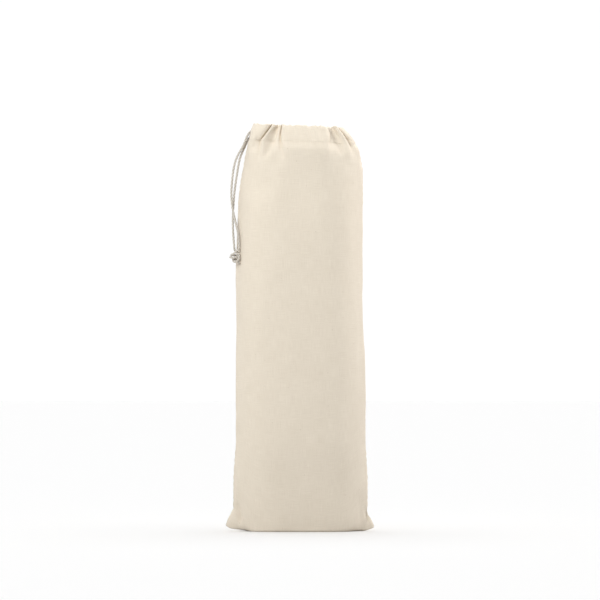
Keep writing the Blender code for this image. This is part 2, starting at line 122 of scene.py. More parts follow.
# Level sections: the height, the outline's left and right edges, how square the
# section is in the middle (crown) and how blunt at the seams (edge: 1 is a sharp
# crease, 0.5 is round), and the share of the cloth that the gathers take up.
Section = namedtuple("Section", "height left right crown edge gathered")
SECTIONS = table(
    Section,
    (7.0, -100.0, 100.0, 4.0, 1.0, 0.0),
    (15.0, -97.6, 96.6, 4.0, 1.0, 0.0),
    (22.0, -94.1, 93.5, 4.0, 1.0, 0.0),
    (31.0, -90.0, 91.4, 4.0, 1.0, 0.0),
    (69.0, -89.7, 91.2, 4.0, 1.0, 0.0),
    (123.0, -86.8, 89.0, 4.0, 1.0, 0.0),
    (231.0, -86.4, 87.8, 4.0, 1.0, 0.0),
    (312.0, -86.6, 84.6, 4.2, 1.0, 0.0),
    (430.0, -84.4, 84.5, 4.3, 0.95, 0.005),
    (462.0, -81.7, 84.9, 4.0, 0.88, 0.020),
    (488.0, -77.0, 84.8, 3.5, 0.78, 0.045),
    (505.0, -74.1, 82.0, 3.1, 0.7, 0.078),
    (516.0, -71.4, 80.0, 2.7, 0.62, 0.112),
    (526.0, -69.6, 74.8, 2.6, 0.56, 0.174),
    (536.0, -67.8, 67.8, 2.5, 0.52, 0.248),
    (548.0, -63.6, 58.0, 2.5, 0.5, 0.345),
)

# Stages of the standing bottom, from the fold across its base up to the wall: how
# far along the flat base, how far round its turned edge in degrees, how far up the
# side seam by the time it reaches the ear, and how far from the turn to the wall.
Stage = namedtuple("Stage", "along turned climbed raised")
BASE_STAGES = table(
    Stage,
    (0.0, 0.0, 0.0, 0.0),
    (0.5, 0.0, 0.04, 0.0),
    (1.0, 0.0, 0.09, 0.0),
    (1.0, 24.0, 0.18, 0.0),
    (1.0, 48.0, 0.3, 0.0),
    (1.0, 70.0, 0.46, 0.0),
    (1.0, 90.0, 0.66, 0.0),
    (1.0, 90.0, 1.0, 1.0),
)
BASE_FINE = 4  # rows of the grid for each stage
EVEN_AGAIN = 160.0  # length of cloth above the ears over which the weft grows level

# Rows of the wall: spacing of the rows between two heights
Spacing = namedtuple("Spacing", "start end step")
WALL_ROWS = table(
    Spacing,
    (WALL_START, 110.0, 4.6),
    (110.0, 440.0, 9.2),
    (440.0, 490.0, 4.2),
    (490.0, RIM - CASING, 1.9),
)

# Stages of the casing, up its outer layer and down its inner one: depth under the
# folded edge, distance from the middle of the casing (positive outside), and the
# share of the folds that the layer follows.
Hem = namedtuple("Hem", "depth offset follow")
CASING_STAGES = table(
    Hem,
    (CASING, 0.15, 1.0),
    (19.4, 0.3, 1.0),
    (16.0, 0.6, 1.0),
    (12.0, TUNNEL_OUT, 1.0),
    (7.0, TUNNEL_OUT, 1.0),
    (2.4, TUNNEL_OUT, 1.0),
    (0.5, 0.5, 1.0),
    (0.5, -0.5, 1.0),
    (2.4, -1.5, 0.6),
    (7.0, -TUNNEL_IN, 0.0),
    (16.5, -TUNNEL_IN, 0.0),
    (20.2, -1.2, 0.6),
    (CASING, -0.15, 1.0),
)
CASING_FINE = 3  # rows of the grid for each stage
INNER_RUFFLE = 2.2  # the inner layer bulges into the mouth by this much between gathers
INNER_WAVE = 12.5  # distance between those bulges
INNER_SWAY, INNER_SWAY_LENGTH = 1.5, 19.0  # how unevenly they are spaced

# Waves of the mouth's edge: their length along the cloth, share of the whole, shift
# between front and back, and how unevenly they are spaced
RimWave = namedtuple("RimWave", "length share shift sway sway_length")
RIM_WAVES = table(
    RimWave,
    (31.0, 0.45, 1.0, 0.0, 1.0),
    (13.4, 0.38, 2.0, 0.8, 17.0),
    (7.9, 0.17, 1.3, 0.9, 11.0),
)
RIM_RIPPLE = 1.3  # their height
RIPPLE_FADE = 7.0  # and the depth over which they die away

# Lift of the fold line across the base where the bag's corners leave the floor
LIFT_AT = (-100.0, -92.0, -78.0, -64.0, 84.0, 92.0, 100.0)
LIFT = (7.0, 3.6, 1.4, 0.0, 0.0, 1.7, 5.0)

# Folds of the gathered mouth: ridges and valleys in the flat cloth, counted from
# the left seam on the folded edge and at the stitch line, how far each stands out,
# and how far down from the folded edge it dies away.
Fold = namedtuple("Fold", "mouth hem height fade")
FOLDS = {
    FRONT: table(
        Fold,
        (0.0, 0.0, 0.0, 60.0), (6.0, 6.0, 0.4, 60.0), (20.0, 16.0, 7.6, 70.0),
        (33.0, 21.5, 9.2, 70.0), (39.5, 28.5, 6.4, 66.0), (45.0, 34.0, 0.0, 60.0),
        (50.5, 39.5, 9.6, 64.0), (57.5, 47.5, 4.2, 62.0), (64.5, 56.5, -1.0, 56.0),
        (68.8, 63.5, 4.4, 50.0), (73.0, 69.0, -1.0, 56.0), (78.5, 75.0, 9.6, 66.0),
        (87.0, 86.0, 9.2, 70.0), (94.0, 93.0, 8.7, 70.0), (101.0, 100.5, 9.2, 70.0),
        (108.0, 107.5, 8.8, 70.0), (116.0, 114.0, 9.2, 70.0), (124.0, 120.5, 8.7, 70.0),
        (134.0, 128.0, 9.2, 68.0), (146.0, 135.5, 10.2, 62.0), (154.0, 144.0, 3.6, 52.0),
        (162.5, 154.5, -0.9, 48.0), (171.0, 170.0, 8.6, 56.0), (176.5, 177.5, -0.8, 50.0),
        (182.0, 185.0, 6.6, 60.0), (188.0, 190.5, 5.6, 66.0), (195.0, 195.0, 0.4, 60.0),
        (200.0, 200.0, 0.0, 60.0),
    ),
    BACK: table(
        Fold,
        (0.0, 0.0, 0.0, 60.0), (6.0, 6.0, 0.3, 60.0), (16.0, 15.0, 6.0, 62.0),
        (25.0, 22.0, 4.2, 60.0), (30.0, 27.0, 0.2, 50.0), (39.0, 36.0, 4.6, 40.0),
        (49.0, 47.0, 0.6, 44.0), (57.0, 55.0, 6.0, 58.0), (68.0, 67.0, 5.2, 54.0),
        (74.0, 73.0, 0.2, 44.0), (84.0, 84.0, 4.6, 40.0), (94.0, 94.0, 0.8, 44.0),
        (101.0, 101.0, 5.0, 60.0), (114.0, 115.0, 5.6, 64.0), (120.0, 121.0, 0.4, 46.0),
        (133.0, 134.0, 5.0, 44.0), (144.0, 146.0, 0.8, 40.0), (154.0, 156.0, 4.4, 38.0),
        (164.0, 167.0, 0.2, 46.0), (171.0, 174.0, 4.8, 60.0), (184.0, 185.0, 5.2, 62.0),
        (195.0, 195.0, 0.3, 60.0), (200.0, 200.0, 0.0, 60.0),
    ),
}
FOLD_SHARP = 0.5  # the folds are rounded over this length at the mouth
FOLD_SOFT = 4.5  # and over this one where they die away
SOFTENS_FROM = 0.6 * CASING  # the depth at which they begin to grow soft
SOFTENS_OVER = 2.0 * CASING  # and how much deeper they have done so
FOLD_REACH = 15.0  # the rounding takes in this much cloth each way
STRAIGHT_AGAIN = 240.0  # depth at which the folds' lean has gone
STRONGEST = 1.0  # the folds stand out by this share of their height at most
STEEPEST = 0.92  # sine of the steepest slope of a fold's side

# Soft dents of the filled cloth: place in the flat cloth, height, half the width
# and height they cover, and depth
Dent = namedtuple("Dent", "along height wide tall depth")
DENTS = {
    FRONT: table(
        Dent,
        (15.0, 24.0, 10.0, 20.0, 4.5), (186.0, 24.0, 9.0, 20.0, 4.0), (62.0, 205.0, 26.0, 60.0, 1.6),
        (138.0, 330.0, 30.0, 70.0, 1.4), (96.0, 452.0, 24.0, 22.0, 1.5), (46.0, 468.0, 22.0, 18.0, 3.2),
    ),
    BACK: table(
        Dent,
        (16.0, 26.0, 10.0, 22.0, 4.5), (185.0, 24.0, 10.0, 20.0, 4.0), (100.0, 300.0, 16.0, 120.0, 2.2),
        (60.0, 130.0, 28.0, 50.0, 1.5), (145.0, 400.0, 26.0, 50.0, 1.6),
    ),
}

# Creases: lines across the face of the cloth from one place to another, half the
# width of their trough, and its depth (a ridge's is negative)
Crease = namedtuple("Crease", "x z to_x to_z wide depth")
CREASES = {
    FRONT: table(
        Crease,
        (-88.0, 42.0, -79.5, 7.0, 2.8, 3.8), (-84.0, 31.0, -74.0, 7.0, 3.6, -0.8),
        (88.5, 32.0, 91.5, 7.0, 2.2, 2.6), (84.6, 105.0, 85.2, 22.0, 1.4, 0.45),
        (85.0, 32.0, 86.0, 9.0, 3.4, -0.7), (74.5, 330.0, 76.0, 195.0, 2.6, 0.5),
        (70.0, 455.0, 73.0, 350.0, 6.0, 0.6), (-63.0, 500.0, -78.0, 452.0, 6.0, 0.9),
        (-45.0, 497.0, -60.0, 462.0, 7.0, -0.7), (-55.0, 535.0, -66.0, 512.0, 4.5, 2.0),
        (-28.0, 533.0, -57.0, 486.0, 8.0, -1.0), (38.0, 531.0, 63.0, 492.0, 8.0, -1.0),
        (58.0, 521.0, 76.0, 490.0, 6.0, -0.9), (-34.0, 535.0, -52.0, 500.0, 5.0, 2.8),
        (-28.0, 520.0, -36.0, 484.0, 5.0, 0.6), (45.0, 532.0, 60.0, 507.0, 5.0, 2.2),
        (61.0, 534.0, 78.0, 517.0, 3.0, 1.2), (-22.0, 330.0, -20.0, 150.0, 7.0, -0.35),
        (30.0, 250.0, 34.0, 90.0, 9.0, 0.4), (-60.0, 190.0, -52.0, 70.0, 11.0, -0.6),
    ),
    BACK: table(
        Crease,
        (86.0, 34.0, 80.0, 7.0, 2.4, 1.5), (-87.0, 34.0, -82.0, 7.0, 2.4, 1.5),
        (-58.0, 420.0, -66.0, 300.0, 8.0, 0.6), (10.0, 480.0, 16.0, 360.0, 9.0, 0.5),
        (52.0, 260.0, 46.0, 110.0, 10.0, 0.6), (-20.0, 200.0, -28.0, 80.0, 10.0, -0.5),
    ),
}
CREASE_BOW = 0.04  # a crease bows out by this share of its length
CREASE_ENDS = 0.3  # and fades in and out over this one

# Unevenness of the cloth: its height, the length of its waves, how much the way up
# the cloth counts against the way across, and the seed that its waves come from
Uneven = namedtuple("Uneven", "height length upwards seed")
BROAD_WAVES = Uneven(0.45, 62.0, 0.45, 3)
FINE_WAVES = Uneven(0.16, 21.0, 0.70, 11)
SLACK_OVER = 60.0  # both have grown full this far under the casing
PUCKERS = Uneven(0.24, 9.5, 0.25, 5)  # under the line of stitches
PUCKER_START, PUCKER_FADE = 4.0, 13.0
CASING_WAVES = Uneven(0.42, 11.0, 0.20, 8)
CASING_WAVES_START = 6.0  # they have grown full this far above the stitches
WAVES = 7  # each unevenness is the sum of this many waves
WAVE_SPREAD = (0.7, 1.6)  # their lengths, as shares of the length given

# What the sewing does to the cloth: the hem's stitches draw it in, a side seam
# stands out as a ridge, and its two sides pucker along it
HEM_DRAWN, HEM_DRAWN_WIDE = 0.10, 1.5
SEAM_RIDGE, SEAM_WIDE = 0.28, 1.5
SEAM_PUCKER, SEAM_PUCKER_LENGTH, SEAM_PUCKER_REACH = 0.30, 8.7, 5.0
SEAM_SWAY, SEAM_SWAY_LENGTH = 1.4, 13.0  # how unevenly those puckers are spaced
SEAM_PUCKER_FROM, SEAM_PUCKER_GROW = 12.0, 20.0  # height where they start, and grow full
PLAIN_FOOT = 5.0  # on the floor the cloth is plain, up to this height

# Routes of the two hanging strands, from the slit in the casing to the knot
OUTER_ROUTE = (
    (-62.7, 5.2, 541.4), (-64.1, 2.0, 541.5), (-66.6, -0.6, 540.7), (-69.6, -1.8, 537.6),
    (-72.4, -2.2, 532.2), (-77.2, -2.6, 520.6), (-83.8, -2.8, 509.0), (-88.6, -3.3, 495.9),
    (-91.4, -4.3, 478.3), (-92.8, -5.8, 459.3), (-91.9, -8.0, 441.6), (-89.6, -9.8, 428.5),
    (-86.2, -11.4, 413.8), (-83.6, -12.4, 400.7), (-82.4, -12.8, 382.2),
)
INNER_ROUTE = (
    (-63.6, -5.0, 536.5), (-64.9, -1.8, 536.0), (-66.9, 0.6, 534.0), (-69.8, 1.6, 530.4),
    (-72.7, 1.9, 524.4), (-76.4, 1.7, 516.2), (-80.8, 0.9, 505.6), (-83.9, -0.1, 491.4),
    (-86.6, -1.5, 473.9), (-88.7, -3.1, 457.8), (-89.9, -4.7, 443.1), (-90.6, -6.2, 430.0),
    (-90.8, -8.2, 415.3), (-90.2, -10.0, 400.7), (-88.8, -11.6, 382.2),
)

# The knot: an overhand knot of both strands, flat against the bag's side. Each
# strand's places are counted from the knot's middle, from its top to its tail's tip.
KNOT_AT = (-87.4, -12.6, 371.4)
KNOT_CORD = 3.1  # the cord pulled tight
KnotRun = namedtuple("KnotRun", "route places")
KNOT_RUNS = (
    KnotRun(OUTER_ROUTE, (
        (4.4, -0.5, 9.4), (2.8, -1.6, 7.8), (0.8, -2.7, 6.0), (-1.6, -3.2, 4.1), (-3.9, -2.5, 2.6),
        (-5.5, -0.5, 1.8), (-4.9, 1.6, 1.7), (-2.3, 2.0, 1.6), (0.9, 1.8, 1.2), (3.0, 0.5, 0.2),
        (2.2, -2.0, -1.0), (-0.4, -3.2, -1.5), (-3.2, -3.2, -1.9), (-5.4, -2.6, -1.5), (-7.0, -2.1, -0.9),
    )),
    KnotRun(INNER_ROUTE, (
        (-1.1, 0.9, 9.3), (0.4, 1.0, 7.6), (2.3, 0.6, 6.0), (3.9, -0.4, 4.1), (4.8, -1.4, 1.6),
        (5.0, -1.9, -1.2), (4.3, -1.9, -4.0), (2.3, -1.9, -6.2), (-0.4, -1.6, -7.2), (-2.7, -0.4, -5.9),
        (-2.6, 1.4, -4.2), (-0.2, 2.3, -3.9), (2.4, 1.8, -5.0), (4.6, 0.9, -7.2), (5.6, 0.4, -9.6),
    )),
)
TIGHTENS_OVER = 1.5  # the cord is tight in the knot after this length
TAIL_FLARE, FLARE_LENGTH = 0.16, 1.3  # a tail's end is this much wider
TAIL_TIP, TIP_SHARE = 0.3, 0.82  # and its tip drawn in

# Loose fibres at a cord's cut end: their number, the ranges of their distance from
# its middle, lean and length, how deep they start, how much they curl, and their
# radius at shares of their length
FIBRES, FIBRE_SEED = 40, 20
FIBRE_OFF, FIBRE_LEAN, FIBRE_LENGTH = (0.15, 1.4), (0.1, 0.75), (0.5, 1.7)
FIBRE_ROOT, FIBRE_CURL = 0.5, 0.25
FIBRE_RADII = ((0.0, 0.085), (0.35, 0.075), (0.7, 0.055), (1.0, 0.02))
FIBRE_FROM = (0.2, 0.9, 0.4)  # their angles are counted square to this
FIBRE_CORNERS = (0.0, 2.1, 4.2)

# Sewing: a stitch's length, the width of its thread at shares of that length, how
# high its ends and its middle lie on the cloth, and how flat it is pressed
STITCH = 2.5
STITCH_STEP = 3.2
THREAD = 0.42
STITCH_WIDTHS = ((0.0, 0.35), (0.12, 0.8), (0.5, 1.0), (0.88, 0.8), (1.0, 0.35))
STITCH_LIFT, STITCH_ARCH, STITCH_FLAT = 0.12, 0.14, 0.8
STITCH_CORNERS = np.arange(6) * math.pi / 3.0

# Threads of the cloth
WARP = 0.50  # distance between the threads that run up the bag
WEFT = 0.56  # and between those that run across
THREAD_TOPS = 0.6  # power that flattens the tops of the threads

# Patterns of the cloth, across and up, in repeats for each millimetre
SLUBS_UP, SLUBS_ACROSS = (1.7, 0.055), (0.06, 1.5)
GRAIN, MOTTLE = 1.1, 0.035
TONES, CORD_TONES = (0.28, 0.74), (0.15, 1.05)  # of their sums, the darkest and lightest
FLECK_CELLS = (0.13, 0.10)
FLECK_SIZE = (0.030, 0.075)  # in cells: its full middle and its edge
FLECKS_FROM = 0.62  # this share of the cells has none
FLECK_STRENGTH = 0.45
YARNS_ROUND, YARNS_ALONG = 12.0, 1.35  # round the cord, and along a millimetre of it
FUZZ, DIRT, THREAD_FUZZ = 900.0, 60.0, 1500.0  # on the cord and the thread, for each metre

# Colours, from dark to light
COTTON_COLOURS = (0.635, 0.550, 0.445, 1.0), (0.785, 0.706, 0.598, 1.0)
FLECK_COLOUR = (0.33, 0.235, 0.15, 1.0)
CORD_COLOURS = (0.31, 0.275, 0.235, 1.0), (0.68, 0.63, 0.56, 1.0)
THREAD_COLOURS = (0.66, 0.59, 0.49, 1.0), (0.80, 0.74, 0.65, 1.0)


# -------- numbers


def smooth(at, knots, values):
    """Read a smooth curve that rises and falls only where its points do."""
    knots, values = np.asarray(knots, float), np.asarray(values, float)
    step = np.diff(knots)
    slope = np.diff(values) / step
    product = slope[:-1] * slope[1:]
    total = slope[:-1] + slope[1:]
    tangent = np.concatenate(([slope[0]], np.zeros(len(knots) - 2), [slope[-1]]))
    turning = product <= 0
    tangent[1:-1] = np.where(turning, 0.0, 2.0 * product / np.where(turning, 1.0, total))
    at = np.clip(at, knots[0], knots[-1])
    span = np.clip(np.searchsorted(knots, at, side="right") - 1, 0, len(step) - 1)
    f = (at - knots[span]) / step[span]
    rise = values[span + 1] - values[span]
    bend_in = tangent[span] * step[span]
    bend_out = tangent[span + 1] * step[span]
    return (
        values[span]
        + rise * f * f * (3.0 - 2.0 * f)
        + bend_in * f * (1.0 - f) ** 2
        - bend_out * f * f * (1.0 - f)
    )


def ease(value):
    """0 up to 0, 1 from 1 on, and a smooth rise between."""
    value = np.clip(value, 0.0, 1.0)
    return value * value * (3.0 - 2.0 * value)


def unit(vector):
    vector = np.asarray(vector, float)
    return vector / np.linalg.norm(vector, axis=-1, keepdims=True)


def running_length(*coordinates):
    """Length along a line of points, at each of them."""
    steps = np.sqrt(sum(np.diff(c) ** 2 for c in coordinates))
    return np.concatenate(([0.0], np.cumsum(steps)))


def running_total(rate, places):
    """Integral of a rate along the places that it is known at, at each of them."""
    return np.concatenate(([0.0], np.cumsum((rate[1:] + rate[:-1]) / 2.0 * np.diff(places))))


def bisect(low, high, too_small):
    """The value between two limits where `too_small` turns from true to false."""
    for _ in range(HALVINGS):
        middle = (low + high) / 2.0
        if too_small(middle):
            low = middle
        else:
            high = middle
    return (low + high) / 2.0


def staged(stages, fine):
    """Rows between the stages of a table, a smooth curve through each column."""
    whole = np.arange(len(stages))
    at = np.linspace(0.0, len(stages) - 1.0, (len(stages) - 1) * fine + 1)
    columns = [smooth(at, whole, column) for column in zip(*stages)]
    return [type(stages[0])(*row) for row in zip(*columns)]


# -------- meshes


def add_object(name, data):
    item = bpy.data.objects.new(name, data)
    bpy.context.scene.collection.objects.link(item)
    return item


def add_mesh(name, mesh, material):
    data = bpy.data.meshes.new(name)
    mesh.to_mesh(data)
    mesh.free()
    data.materials.append(material)
    return add_object(name, data)


def add_faces(mesh, rings, uv_at=None, is_open=None):
    """Faces between rings of points, apart from open ones, with UVs where they are
    given for a corner's row and its column."""
    uv = mesh.loops.layers.uv.verify() if uv_at else None
    around = len(rings[0])
    for i in range(len(rings) - 1):
        for j in range(around):
            if is_open and is_open(i, j):
                continue
            corners = ((i, j), (i, j + 1), (i + 1, j + 1), (i + 1, j))
            face = mesh.faces.new([rings[row][column % around] for row, column in corners])
            face.smooth = True
            if uv_at:
                for loop, corner in zip(face.loops, corners):
                    loop[uv].uv = uv_at(*corner)


def add_ring(mesh, place, side, up, radius, angles):
    """A ring of points round a place, whose radius may be one for each angle."""
    around = place + np.outer(radius * np.cos(angles), side) + np.outer(radius * np.sin(angles), up)
    return [mesh.verts.new(point * MM) for point in around]


def add_tube(mesh, rings, uv_at=None):
    """A closed tube through rings of points."""
    add_faces(mesh, rings, uv_at)
    mesh.faces.new(rings[0][::-1])
    mesh.faces.new(rings[-1])


# -------- the cloth


def section_value(height, name):
    """One measure of the level section at a height."""
    return smooth(height, [row.height for row in SECTIONS], [getattr(row, name) for row in SECTIONS])


def half_section(height):
    """Half of the inner outline at a height, from the left seam to the right one.

    Its depth follows from the cloth: the half is as long as the flat bag is wide,
    less what the gathers take up.
    """
    left, right = section_value(height, "left"), section_value(height, "right")
    across = -np.cos(np.linspace(0.0, math.pi, SAMPLES))
    x = (left + right) / 2.0 + across * ((right - left) / 2.0 - CLOTH)
    bulge = (1.0 - np.abs(across) ** section_value(height, "crown")) ** section_value(height, "edge")
    wanted = FLAT_WIDTH * (1.0 - section_value(height, "gathered"))
    depth = bisect(0.0, FLAT_WIDTH / 2.0, lambda d: running_length(x, d * bulge)[-1] < wanted)
    return x, depth * bulge


def fold_heights(side, cloth, depth):
    """How far the folds stand out, evenly along the cloth, `depth` under the folded edge."""
    tall = [fold.height * (1.0 - ease(depth / fold.fade)) for fold in FOLDS[side]]
    heights = smooth(cloth, [fold.mouth for fold in FOLDS[side]], tall)
    blur = FOLD_SHARP + (FOLD_SOFT - FOLD_SHARP) * ease((depth - SOFTENS_FROM) / SOFTENS_OVER)
    reach = np.arange(-FOLD_REACH, FOLD_REACH + 0.1, cloth[1] - cloth[0])
    kernel = np.exp(-((reach / blur) ** 2))
    padded = np.pad(heights, len(reach) // 2, mode="edge")
    return np.convolve(padded, kernel / kernel.sum(), mode="same")[len(reach) // 2:][:len(cloth)]


def dent_depths(side, cloth, height):
    """How far the soft dents sink into the cloth."""
    depths = np.zeros(len(cloth))
    for dent in DENTS[side]:
        away = ((cloth - dent.along) / dent.wide) ** 2 + ((height - dent.height) / dent.tall) ** 2
        depths += dent.depth * np.exp(-away)
    return depths


def leaning(side, cloth, depth):
    """Where a fold that starts at `cloth` on the folded edge lies, `depth` under it."""
    mouth = [fold.mouth for fold in FOLDS[side]]
    aside = np.interp(cloth, mouth, [fold.hem - fold.mouth for fold in FOLDS[side]])
    past = ease((depth - CASING) / (STRAIGHT_AGAIN - CASING))
    return cloth + aside * min(depth / CASING, 1.0) * (1.0 - past)


def level_row(side, columns, height, offset=0.0, follow=1.0):
    """Points of one side's cloth at a height, for the columns of its grid.

    The folds stand out as far as the gathered cloth allows, and the columns are
    spread along the section so that the cloth between them keeps its length.
    """
    x, y = half_section(height)
    run = running_length(x, y)
    depth = max(0.0, RIM - height)
    straight = np.linspace(0.0, FLAT_WIDTH, SAMPLES)
    cloth = leaning(side, straight, depth)
    columns = leaning(side, columns, depth)
    heights = fold_heights(side, straight, depth)
    slopes = np.gradient(heights, cloth)

    def length_along(scale):
        lean = np.clip(scale * slopes, -STEEPEST, STEEPEST)
        return running_total(np.sqrt(1.0 - lean * lean), cloth)

    scale = bisect(0.0, STRONGEST, lambda k: length_along(k)[-1] > run[-1])
    along = length_along(scale)
    place = np.interp(columns, cloth, along * run[-1] / along[-1])
    px, py = np.interp(place, run, x), np.interp(place, run, y)
    dx = np.interp(place, run, np.gradient(x, run))
    dy = np.interp(place, run, np.gradient(y, run))
    size = np.hypot(dx, dy)
    out = offset + follow * scale * np.interp(columns, cloth, heights)
    out = out - dent_depths(side, columns, height)
    return np.column_stack((px - dy / size * out, side * (py + dx / size * out)))


def base_rows(side, columns):
    """Rows of one side's cloth on the standing bottom, up to the wall."""
    wall = level_row(side, columns, WALL_START)
    fold_x = (columns / FLAT_WIDTH * 2.0 - 1.0) * EAR_TIP
    lift = smooth(fold_x, LIFT_AT, LIFT)
    half_depth = np.abs(wall[:, 1])
    turn_share = np.minimum(BASE_TURN, TURN_LIMIT * half_depth) / np.maximum(half_depth, CLOTH)
    share = ease(np.minimum(columns, FLAT_WIDTH - columns) / EAR_WIDTH)[:, None]
    levels = np.linspace(0.0, WALL_START, EAR_LEVELS)
    ears = np.array([level_row(side, columns, level) for level in levels])
    rows = []
    for stage in staged(BASE_STAGES, BASE_FINE):
        angle = math.radians(stage.turned)
        reach = (1.0 - turn_share) * stage.along + turn_share * math.sin(angle)
        z = CLOTH + lift + (TURN_RISE - lift) * (1.0 - math.cos(angle))
        z = z + stage.raised * (WALL_START - z)
        floor = np.column_stack((fold_x + (wall[:, 0] - fold_x) * reach, wall[:, 1] * reach, z))
        climb = CLOTH + lift + (WALL_START - CLOTH - lift) * stage.climbed
        ear = np.array([[np.interp(up, levels, line[:, k]) for k in (0, 1)] + [up]
                        for up, line in zip(climb, ears.transpose(1, 0, 2))])
        points = ear + (floor - ear) * share
        if stage.along == 0.0:
            points[:, 1] = 0.0
        rows.append(points)
    return rows


def rim_rise(x, height):
    """The mouth slopes down to the right, and the rows under it follow less and less."""
    share = ease((height - TILT_START) / (RIM - TILT_START))
    return RIM_TILT * x / section_value(RIM, "left") * share


def wall_row(side, columns, height):
    """Points of one side's cloth on a level row between the base and the casing."""
    points = level_row(side, columns, height)
    return np.column_stack((points, height + rim_rise(points[:, 0], height)))


def ruffle(side, columns):
    """Small waves of the mouth's edge, from -1 to 1 along the cloth."""
    waves = 0.0
    for wave in RIM_WAVES:
        sway = wave.sway * np.sin(columns / wave.sway_length)
        phase = math.tau * columns / wave.length + wave.shift * side + sway
        waves = waves + wave.share * np.sin(phase)
    return waves


def casing_row(side, columns, row):
    """Points of one side's cloth on one row of the casing."""
    height = RIM - row.depth
    sway = INNER_SWAY * np.sin(columns / INNER_SWAY_LENGTH + side)
    bulge = 0.5 + 0.5 * np.cos(math.tau * columns / INNER_WAVE + sway)
    offset = row.offset - INNER_RUFFLE * bulge * (1.0 - row.follow)
    points = level_row(side, columns, height, offset, row.follow)
    ripple = RIM_RIPPLE * ruffle(side, columns) * math.exp(-row.depth / RIPPLE_FADE)
    return np.column_stack((points, height + rim_rise(points[:, 0], height) + ripple))


def ring(front, back):
    """One row round the bag, counter-clockwise from above, the two seams shared."""
    seams = (front[[0, -1]] + back[[0, -1]]) / 2.0
    front, back = front.copy(), back.copy()
    front[[0, -1]] = seams
    return np.vstack((front, back[-2:0:-1]))


def wall_heights():
    heights = []
    for part in WALL_ROWS:
        count = round((part.end - part.start) / part.step)
        heights.extend(np.linspace(part.start, part.end, count, endpoint=False))
    return heights[1:]


def cloth_grid():
    """Rings of the cloth from the fold across its base to the hem's end, and the depth
    under the folded edge and the layer (0 outside, 1 inside) of each."""
    columns = np.linspace(0.0, FLAT_WIDTH, COLUMNS + 1)
    rings = [ring(*pair) for pair in zip(base_rows(FRONT, columns), base_rows(BACK, columns))]
    depths = [RIM] * len(rings)
    for height in wall_heights():
        rings.append(ring(wall_row(FRONT, columns, height), wall_row(BACK, columns, height)))
        depths.append(RIM - height)
    layers = [0.0] * len(rings)
    for row in staged(CASING_STAGES, CASING_FINE):
        rings.append(ring(casing_row(FRONT, columns, row), casing_row(BACK, columns, row)))
        depths.append(row.depth)
        layers.append(0.0 if row.offset > 0.0 else 1.0)
    return np.array(rings), np.array(depths), np.array(layers)


def grid_normals(grid):
    """Outward normals of a grid of rings."""
    around = np.roll(grid, -1, axis=1) - np.roll(grid, 1, axis=1)
    up = np.gradient(grid, axis=0)
    up[0] = grid[1] - grid[0]
    normal = np.cross(around, up)
    size = np.linalg.norm(normal, axis=2, keepdims=True)
    return normal / np.maximum(size, 1e-9)


def crease_depths(side, x, z):
    """Depth of the creases of one side over its face."""
    depths = np.zeros(x.shape)
    for crease in CREASES[side]:
        start = np.array((crease.x, crease.z))
        run = np.array((crease.to_x, crease.to_z)) - start
        length = np.linalg.norm(run)
        way = run / length
        along = (x - start[0]) * way[0] + (z - start[1]) * way[1]
        aside = (z - start[1]) * way[0] - (x - start[0]) * way[1]
        bow = CREASE_BOW * length * np.sin(math.pi * np.clip(along / length, 0.0, 1.0))
        fade = CREASE_ENDS * length
        ends = ease(along / fade) * ease((length - along) / fade)
        depths += crease.depth * ends * np.exp(-(((aside - bow) / crease.wide) ** 2))
    return depths


def unevenness(kind, across, up):
    """Soft unevenness of one kind over the cloth, from a few waves in all directions."""
    made = np.random.default_rng(kind.seed)
    up = up * kind.upwards
    total = np.zeros(np.broadcast(across, up).shape)
    for _ in range(WAVES):
        angle, phase = made.uniform(0.0, math.pi), made.uniform(0.0, math.tau)
        length = kind.length * made.uniform(*WAVE_SPREAD)
        along = across * math.cos(angle) + up * math.sin(angle)
        total += np.sin(math.tau * along / length + phase)
    return kind.height * (total / (WAVES / 2.0))


def relief(grid, depths, layers):
    """How far each point of the cloth stands out from its plain form."""
    cloth = (np.arange(grid.shape[1]) * FLAT_WIDTH / COLUMNS)[None, :]
    x, y, z = np.moveaxis(grid, 2, 0)
    depth = depths[:, None]
    outside = 1.0 - layers[:, None]
    out = -np.where(y < 0.0, crease_depths(FRONT, x, z), crease_depths(BACK, x, z)) * outside

    slack = ease((depth - CASING) / SLACK_OVER)
    out = out + unevenness(BROAD_WAVES, cloth, z) * slack
    out = out + unevenness(FINE_WAVES, cloth, z) * slack

    under = np.maximum(0.0, depth - CASING)
    puckered = np.exp(-under / PUCKER_FADE) * ease(under / PUCKER_START)
    out = out + unevenness(PUCKERS, cloth, under) * puckered
    above = ease((CASING - depth) / CASING_WAVES_START)
    out = out + unevenness(CASING_WAVES, cloth, depth) * above * outside
    out = out - HEM_DRAWN * np.exp(-(((depth - CASING) / HEM_DRAWN_WIDE) ** 2)) * outside

    seam = np.minimum(cloth % FLAT_WIDTH, FLAT_WIDTH - cloth % FLAT_WIDTH)
    out = out + SEAM_RIDGE * np.exp(-((seam / SEAM_WIDE) ** 2)) * outside
    sway = SEAM_SWAY * np.sin(z / SEAM_SWAY_LENGTH)
    tight = SEAM_PUCKER * np.sin(math.tau * z / SEAM_PUCKER_LENGTH + sway)
    low = ease((z - SEAM_PUCKER_FROM) / SEAM_PUCKER_GROW)
    high = ease((RIM - CASING - z) / SEAM_PUCKER_GROW)
    out = out + tight * np.exp(-seam / SEAM_PUCKER_REACH) * low * high

    return out * ease((z - CLOTH) / PLAIN_FOOT)


